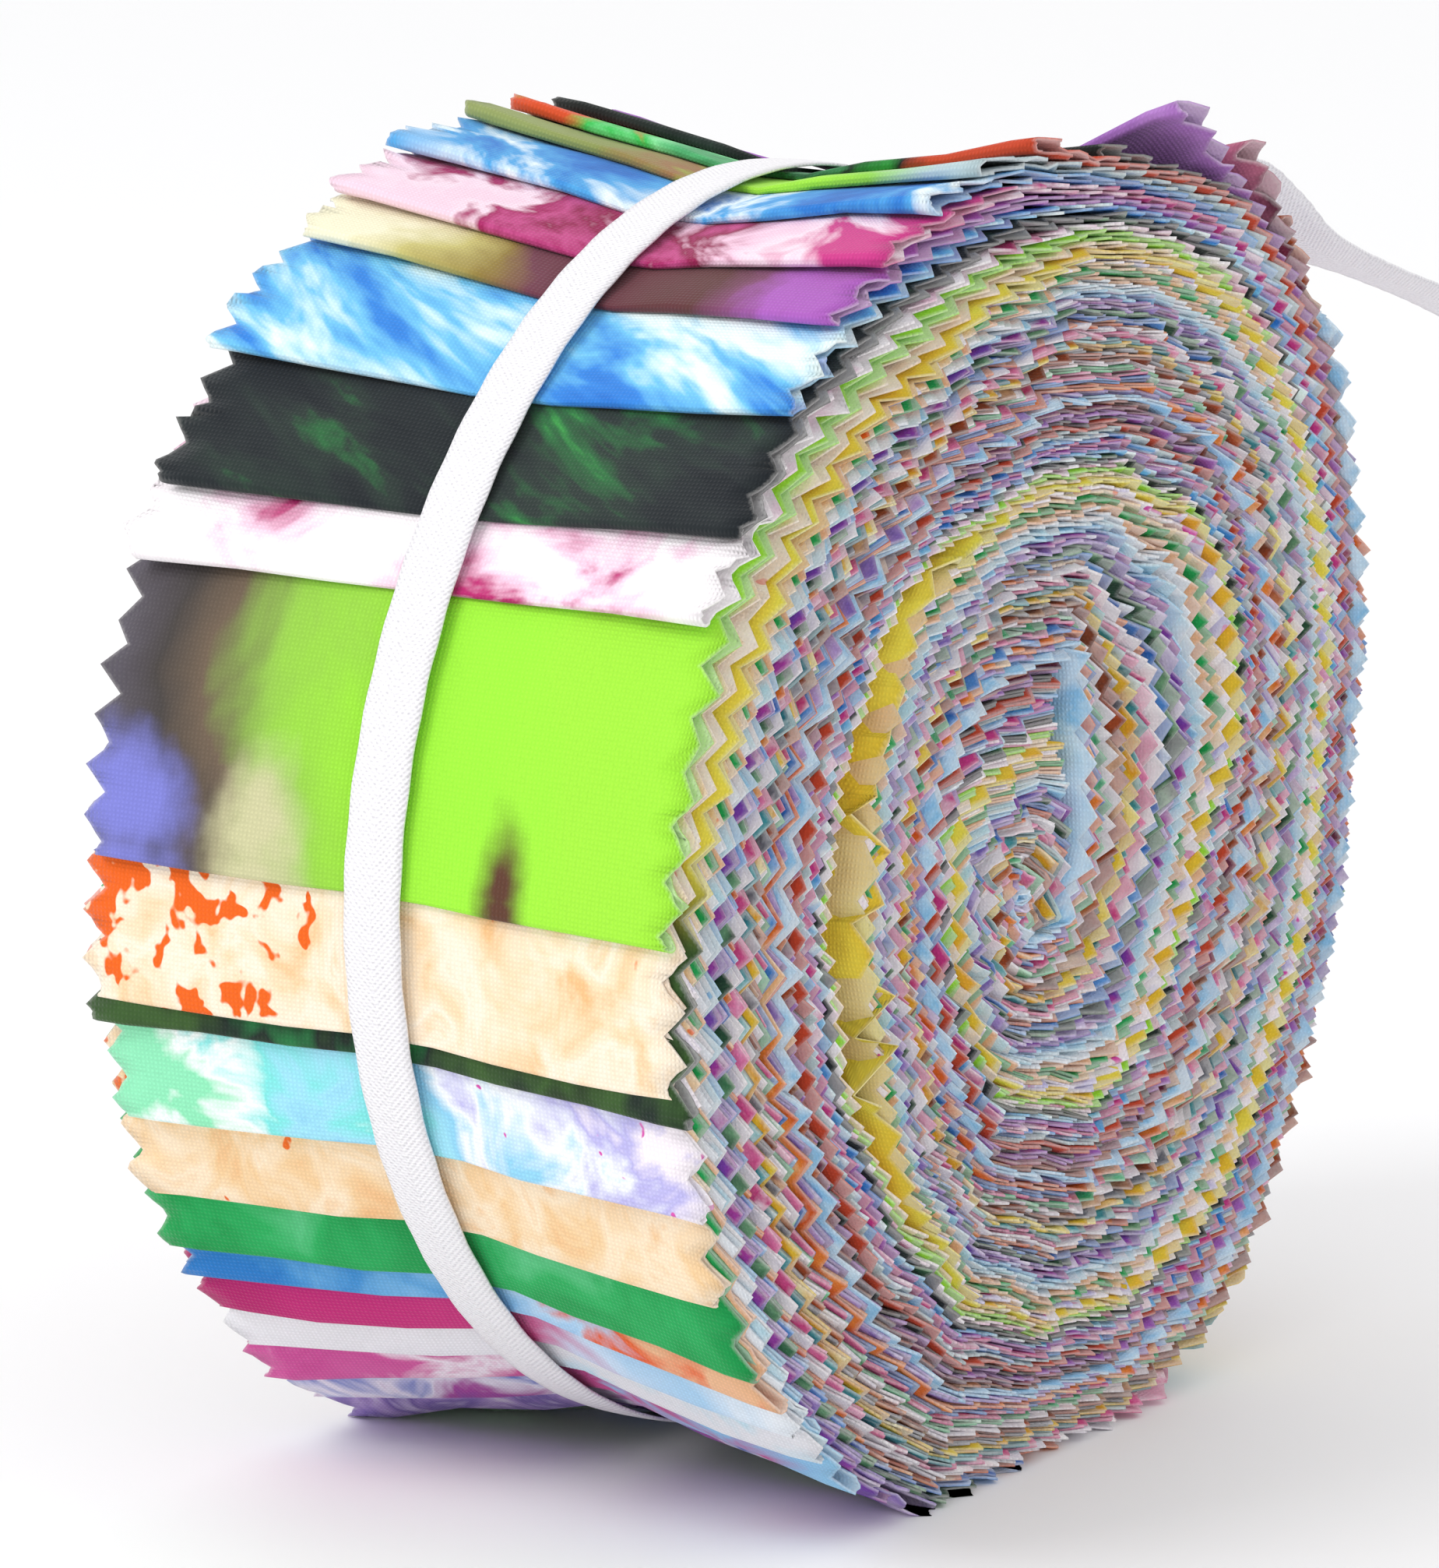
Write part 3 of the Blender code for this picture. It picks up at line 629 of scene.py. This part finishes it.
# %% Strip geometry
TOOTH = 4.5
TOOTH_DEEP = 2.0
CLOTH = 0.26
PROUD = {0: 1.2, 25: 0.9}
FLARES = {37: (4.5, 12.0), 38: (2.0, 16.0)}
FLARE_LENGTH = 13.0
FRONT_WALL = range(16, 36)
ROWS = np.array([-1.0, -0.9, -0.66, -0.36, -0.14, 0.14, 0.36, 0.66, 0.9, 1.0])[:, None]
FOLD_POINTS = 7


def arc_table(f, start, end):
    """Wound angle against distance along one half of a strip, from its cut start."""
    deg = np.arange(start, end, 0.5)
    deg = np.append(deg, end)
    radius = strip_radius(deg, np.full(len(deg), f), np.full(len(deg), 12.0))
    y, z = place_points(deg, radius, np.full(len(deg), 12.0))
    run = np.concatenate([[0.0], np.cumsum(np.hypot(np.diff(y), np.diff(z)))])
    return deg, run, radius


def half_samples(f, start, end, shift):
    """Distances of the points along one half: every half tooth, closer in the core and at the fold."""
    deg, run, radius = arc_table(f, start, end)
    total = run[-1]
    first = (-shift) % (TOOTH / 2)
    marks = np.arange(first, total - 0.3, TOOTH / 2)
    marks = np.concatenate([[0.0], marks[marks > 0.3], [total]])
    extra = []
    for a, b in zip(marks[:-1], marks[1:]):
        around = np.interp(a, run, radius)
        parts = 6 if around < 3.0 else 3 if around < 9.0 or total - a < 12.0 else 1
        extra.append(a + (b - a) * np.arange(parts) / parts)
    s = np.append(np.concatenate(extra), total)
    return s, np.interp(s, run, deg), total


def triangle(s):
    """Zigzag between 0 at a tooth's tip and 1 in its valley."""
    return np.abs(np.mod(s / TOOTH, 1.0) * 2.0 - 1.0)


def strip_columns(k, rng):
    """All points along one strip, in order: place f, angle, lift share, push, cloth length."""
    end = STRIP_END[k]
    shift = rng.uniform(-0.5, 0.5) * TOOTH * 0.35
    f_in, f_out = (k + 0.25) / STRIPS, (k + 0.75) / STRIPS
    starts = np.array(START_OF_STRIP, float)
    start = float(np.interp(k, starts[:, 0], starts[:, 1])) + rng.uniform(-2.0, 2.0)
    s_in, deg_in, len_in = half_samples(f_in, start, end, shift)
    s_out, deg_out, len_out = half_samples(f_out, start, end, shift)
    turn = np.linspace(0.0, math.pi, FOLD_POINTS + 2)[1:-1]
    part = 0.5 * (1.0 - np.cos(turn))
    cap = 1.6
    deg = np.concatenate([deg_in, np.full(FOLD_POINTS, end), deg_out[::-1]])
    f = np.concatenate([np.full(len(s_in), f_in), f_in + (f_out - f_in) * part, np.full(len(s_out), f_out)])
    rise = np.concatenate([np.zeros(len(s_in)), part, np.ones(len(s_out))])
    push = np.concatenate([np.zeros(len(s_in)), np.sin(turn), np.zeros(len(s_out))])
    away = np.concatenate([len_in - s_in, np.zeros(FOLD_POINTS), len_out - s_out[::-1]])
    run = np.concatenate([s_in, len_in + cap * turn / math.pi, len_in + cap + (len_out - s_out[::-1])])
    tooth = np.concatenate([triangle(s_in + shift), np.linspace(triangle(len_in + shift),
                            triangle(len_out + shift), FOLD_POINTS), triangle(s_out[::-1] + shift)])
    return deg, f, rise, push, away, run, tooth, len_in + cap + len_out


def slow_wave(s, rng, length):
    """Gentle random wave along the cloth, between -1 and 1."""
    return sum(np.sin(2.0 * math.pi * (s / (length * w) + rng.uniform())) for w in (1.0, 0.43)) / 2.0


def make_strip(k, material_of):
    """One folded strip as a closed sheet of cloth."""
    rng = np.random.default_rng(100 + k)
    deg, f, rise, push, away, run, tooth, total = strip_columns(k, rng)
    count = len(deg)
    outer_wall = k in FRONT_WALL
    drift = 0.55 * rng.uniform(-1.0, 1.0) + 0.5 * slow_wave(run, rng, 210.0)
    half = HALF_WIDTH - 0.35 - 0.35 * rng.uniform() - TOOTH_DEEP * tooth + 0.12 * rng.standard_normal(count)
    x = ROWS * half + drift * (0.5 if outer_wall else 1.0) + PROUD.get(k, 0.0) * smooth((ROWS - 0.3) / 0.6)
    slant = STRIP_SLANT[k] * x / (2 * HALF_WIDTH) * (1.0 - smooth(away / 25.0))
    angle = deg + slant
    ff = np.broadcast_to(f, x.shape)
    radius = strip_radius(angle, ff, x)
    step = 0.5 / STRIPS
    gap = np.abs(strip_radius(angle, ff + step * 0.5, x) - strip_radius(angle, ff - step * 0.5, x))
    opened = rng.uniform(0.0, 1.0) ** 2
    spread = smooth((np.abs(x) - 18.0) / 12.0)
    flat = 1.0 - smooth((np.abs(x) - 3.6) / 5.0)
    bend = (0.42 + 0.55 * opened * spread) * (1.0 - 0.55 * flat)
    end_gap = gap[:, np.argmin(away)][:, None]
    lift = np.maximum(2.0 * bend - end_gap, 0.0) * (1.0 - smooth(away / (7.0 + 4.0 * opened))) * rise
    flare_high, flare_from = FLARES.get(k, (0.0, 0.0))
    lift = lift + (flare_high * smooth((x - flare_from) / (HALF_WIDTH - flare_from))
                   * (1.0 - smooth(away / FLARE_LENGTH)))
    jitter = 0.3 * gap * rng.standard_normal(count) * smooth((np.abs(x) - 27.0) / 3.0) * smooth(away / 6.0)
    y, z = place_points(angle, radius, x, lift + jitter, push * bend * 0.9)
    ty, tz = np.gradient(y, axis=1), np.gradient(z, axis=1)
    size = np.hypot(ty, tz) + 1e-9
    thick = np.clip(0.84 * gap, 0.11, CLOTH)
    points = []
    for side in (0.5, -0.5):
        py, pz = y - side * thick * tz / size, z + side * thick * ty / size
        pz = np.maximum(pz + AXIS_HEIGHT, 0.05)
        points.append(np.stack([x, py, pz], axis=-1).reshape(-1, 3))
    uv = np.stack([np.broadcast_to(run, x.shape), x], axis=-1).reshape(-1, 2) * MM
    rim = ((1.0 - np.abs(ROWS)) * half).ravel()
    inner = np.repeat([0.0, 1.0], x.size)
    name = f"strip_{k:02d}"
    strip = make_mesh(name, np.concatenate(points), closed_quads(len(ROWS), count), material_of(k, total),
                      np.concatenate([uv, uv]), [("rim", np.concatenate([rim, rim])), ("inner", inner)])
    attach(strip, "root")
    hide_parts("roll")
    return total


# %% [markdown]
# ## Prints
#
# The twenty strips whose folds show on the front wall have prints of the photo's colours, in the
# photo's order. The others show only as thin coloured lines on the faces, and share a set of pale
# and bright families in an irregular order.

# %% Prints
LOOKS = {
    37: dict(colours=["8a4aa6", "9a55b4", "b07cc6", "7a3c98"], size=(22, 20), gain=1.4, slope=0.0),
    36: dict(colours=["15191a", "1d2423", "283330", "3c8a44"], size=(14, 12), gain=1.7, slope=0.0, shift=-0.12),
    35: dict(colours=["d8502a", "3fc25a", "86e09a", "4fb070", "1c2622", "2c8a3c", "1a1f20", "c4462a"],
             size=(9, 12), gain=0.7, slope=1.0),
    34: dict(colours=["8f9c5c", "8a9450", "9a6e48", "9bd83c", "9fe23c", "8fcf4a", "b4c8cc"], size=(12, 14),
             gain=0.45, slope=1.0),
    33: dict(colours=["1c62b6", "2878cc", "4fa4e0", "eaf6fa", "2f7ed0"], size=(15, 13), gain=1.9, slope=0.1,
             skew=0.5),
    32: dict(colours=["f0cfe0", "f3d8e6", "a0185c", "c04a86", "8c1048", "eec4da", "f6dce9", "c83a86"],
             size=(10, 12), gain=1.1, slope=0.8, skew=0.4),
    31: dict(colours=["efeacb", "c4bb72", "8f7a3a", "6e3a4a", "63303a", "5c3434", "7c4468", "a85cb8"],
             size=(16, 20), gain=0.45, slope=1.0),
    30: dict(colours=["226cc6", "3484da", "6fc0ec", "e6fbfd", "f4fdfe", "4c9ce0"], size=(10, 26), gain=1.7,
             slope=0.0, bend=0.4, skew=0.55, shift=-0.04),
    29: dict(colours=["1c2126", "22282b", "293631", "2c6a3c", "46b850"], size=(7, 20), gain=2.0, slope=0.0,
             shift=-0.13, bend=0.4, skew=0.5),
    28: dict(colours=["8c0e4c", "b8286e", "efc6dc", "fbf4f8", "fdf8fb"], size=(9, 12), gain=1.8, slope=0.0,
             shift=0.14, bend=0.5),
    27: dict(colours=["57525c", "45403e", "6c5c4c", "8fbf4a", "97dc3a", "9be83a", "9bea3a", "9fe63c"],
             size=(26, 22), gain=0.4, slope=1.0, shift=0.1,
             smudges=[("7c7fd0", -27.0, 4.0, 8.0, 7.0), ("c8c69a", -13.0, 3.0, 6.0, 8.0),
                      ("5c3a2c", 12.5, 1.5, 3.4, 7.0)]),
    26: dict(colours=["eebd86", "f5d9b4", "faebd6", "f2cda0"], size=(7, 6), gain=1.6, slope=0.0,
             accent=("ec6418", 3.2, 0.66), accent_lean=(-0.13, 0.07)),
    25: dict(colours=["d9cf3c", "ecdf52", "e8c234", "ea9a28"], size=(30, 22), gain=1.6, slope=0.0,
             fold_look=["2f9f58", "2a8c4c", "1d2a24", "3a5a2c", "1a1c1c", "a3412c"], fold_reach=0.012),
    24: dict(colours=["8fe6b8", "f6fdfb", "7fe4e0", "9fe0f4", "8fd0f0", "f4f8fe", "b9b4ea", "fbf2fa"],
             size=(10, 11), gain=1.0, slope=0.8, accent=("dc4fb0", 2.6, 0.77), accent_lean=(0.13, 0.0)),
    23: dict(colours=["ecb47c", "f1cc9c", "f8e2c4", "efc08c"], size=(7, 6), gain=1.6, slope=0.0,
             accent=("ec6c20", 2.6, 0.72), accent_lean=(-0.06, 0.1)),
    22: dict(colours=["0f8840", "16984c", "25ac5c", "5cc486"], size=(11, 12), gain=1.5, slope=0.0),
    21: dict(colours=["2478c4", "3f8ed0", "66a8dc", "86bce8", "b4d4f0", "e2581c", "e8b48c"], size=(7, 8),
             gain=0.7, slope=1.0, shift=0.0),
    20: dict(colours=["b41c6a", "c02474", "c42a78", "c8307c", "c9dcf2", "a8d0f0", "eaf0f8"], size=(14, 12),
             gain=0.3, slope=0.9),
    19: dict(colours=["c4e2ee", "e6e6ea", "ecebf0", "e2e2e8", "b4dcec", "eaf0f6"], size=(12, 11), gain=0.9,
             slope=0.4),
    18: dict(colours=["cc4a96", "d45aa0", "f2e6f0", "cf4f98", "c23c88", "8cc0e8", "9ad0ee"], size=(9, 10),
             gain=0.8, slope=0.7),
    17: dict(colours=["5a4ab4", "3c62c0", "e8e4f2", "a83c9c", "7a3fa8", "6c48a8"], size=(10, 12), gain=1.4,
             slope=0.3),
}
FAMILIES = {
    "white": ["f4eff2", "d9d2de", "f1ecef", "e7c6cf"],
    "lilac": ["e6dcf0", "b79bd6", "7d62b4", "d9c9ea"],
    "orange": ["f3cfa0", "ec8a3a", "d2561c", "f0d9bd"],
    "teal": ["bfe0e0", "4fa3aa", "1d6a78", "d5e8e8"],
    "yellow": ["f2e38c", "e6c93a", "d99a22", "efe6b4"],
    "maroon": ["7d2742", "4f1930", "b0647e", "93405c"],
    "forest": ["2d5a3c", "1c3a2a", "6c9c74", "36704a"],
    "grey": ["c9c8d0", "98989f", "5f626c", "dcdae0"],
    "blue": ["c4dbf2", "5a96da", "2660b2", "dfeaf7"],
    "pink": ["f5c9dc", "e77fae", "c9407f", "f3dbe6"],
    "mint": ["c9ecd6", "6cc794", "2b9a60", "dcf0e4"],
    "rust": ["dc9a6c", "a84a24", "743820", "e6bd9c"],
    "sky": ["a9d4f2", "cfe8fa", "8cc4ec", "b9dcf4"],
}
ORDER = ["sky", "lilac", "orange", "blue", "pink", "mint", "white", "rust", "grey", "yellow", "teal",
         "pink", "white", "orange", "blue", "forest", "lilac", "maroon", "rust", "mint", "grey"]


def material_of(k, total):
    """The print of one strip."""
    if k in LOOKS:
        look = LOOKS[k]
    else:
        look = dict(colours=FAMILIES[ORDER[k % len(ORDER)]], size=(9 + k % 5, 8 + k % 4), gain=2.2, slope=0.0)
    return fabric_material(f"print_{k:02d}", look, k, total)


for strip_number in range(STRIPS):
    cut = make_strip(strip_number, material_of)
    print("strip", strip_number, "flat length mm", round(float(cut), 1))

# %% [markdown]
# ## Room and light
#
# A pale floor and a bright, even sky stand for the white studio. One large soft lamp from the
# upper left gives the wall its light and the roll its faint shadow on the floor.

# %% Stage


def make_floor():
    """A plain pale floor at the height of the roll's flat spot."""
    nodes = Nodes("floor_paint")
    nodes.shader.inputs["Base Color"].default_value = colour("f7f7f8")
    nodes.shader.inputs["Roughness"].default_value = 0.6
    edge = 1500.0
    corners = np.array([(-edge, -edge, 0.0), (edge, -edge, 0.0), (edge, edge, 0.0), (-edge, edge, 0.0)])
    floor = make_mesh("floor", corners, np.array([[0, 1, 2, 3]]), nodes.material, soft=False)


def make_lamp(name, place, aim, power, size):
    """A square soft lamp that looks at a point."""
    data = bpy.data.lights.new(name, "AREA")
    data.energy = power
    data.size = size
    lamp = bpy.data.objects.new(name, data)
    lamp.location = place
    lamp.rotation_mode = "QUATERNION"
    lamp.rotation_quaternion = (Vector(aim) - Vector(place)).to_track_quat("-Z", "Y")
    bpy.context.scene.collection.objects.link(lamp)


make_floor()
world = bpy.data.worlds.new("studio")
world.use_nodes = True
world.node_tree.nodes["Background"].inputs[0].default_value = (1.0, 1.0, 1.0, 1.0)
world.node_tree.nodes["Background"].inputs[1].default_value = 1.0
bpy.context.scene.world = world
bpy.context.scene.view_settings.view_transform = "Standard"
make_lamp("key", (-0.45, -0.75, 0.85), (0.0, 0.0, 0.06), 4.5, 0.5)
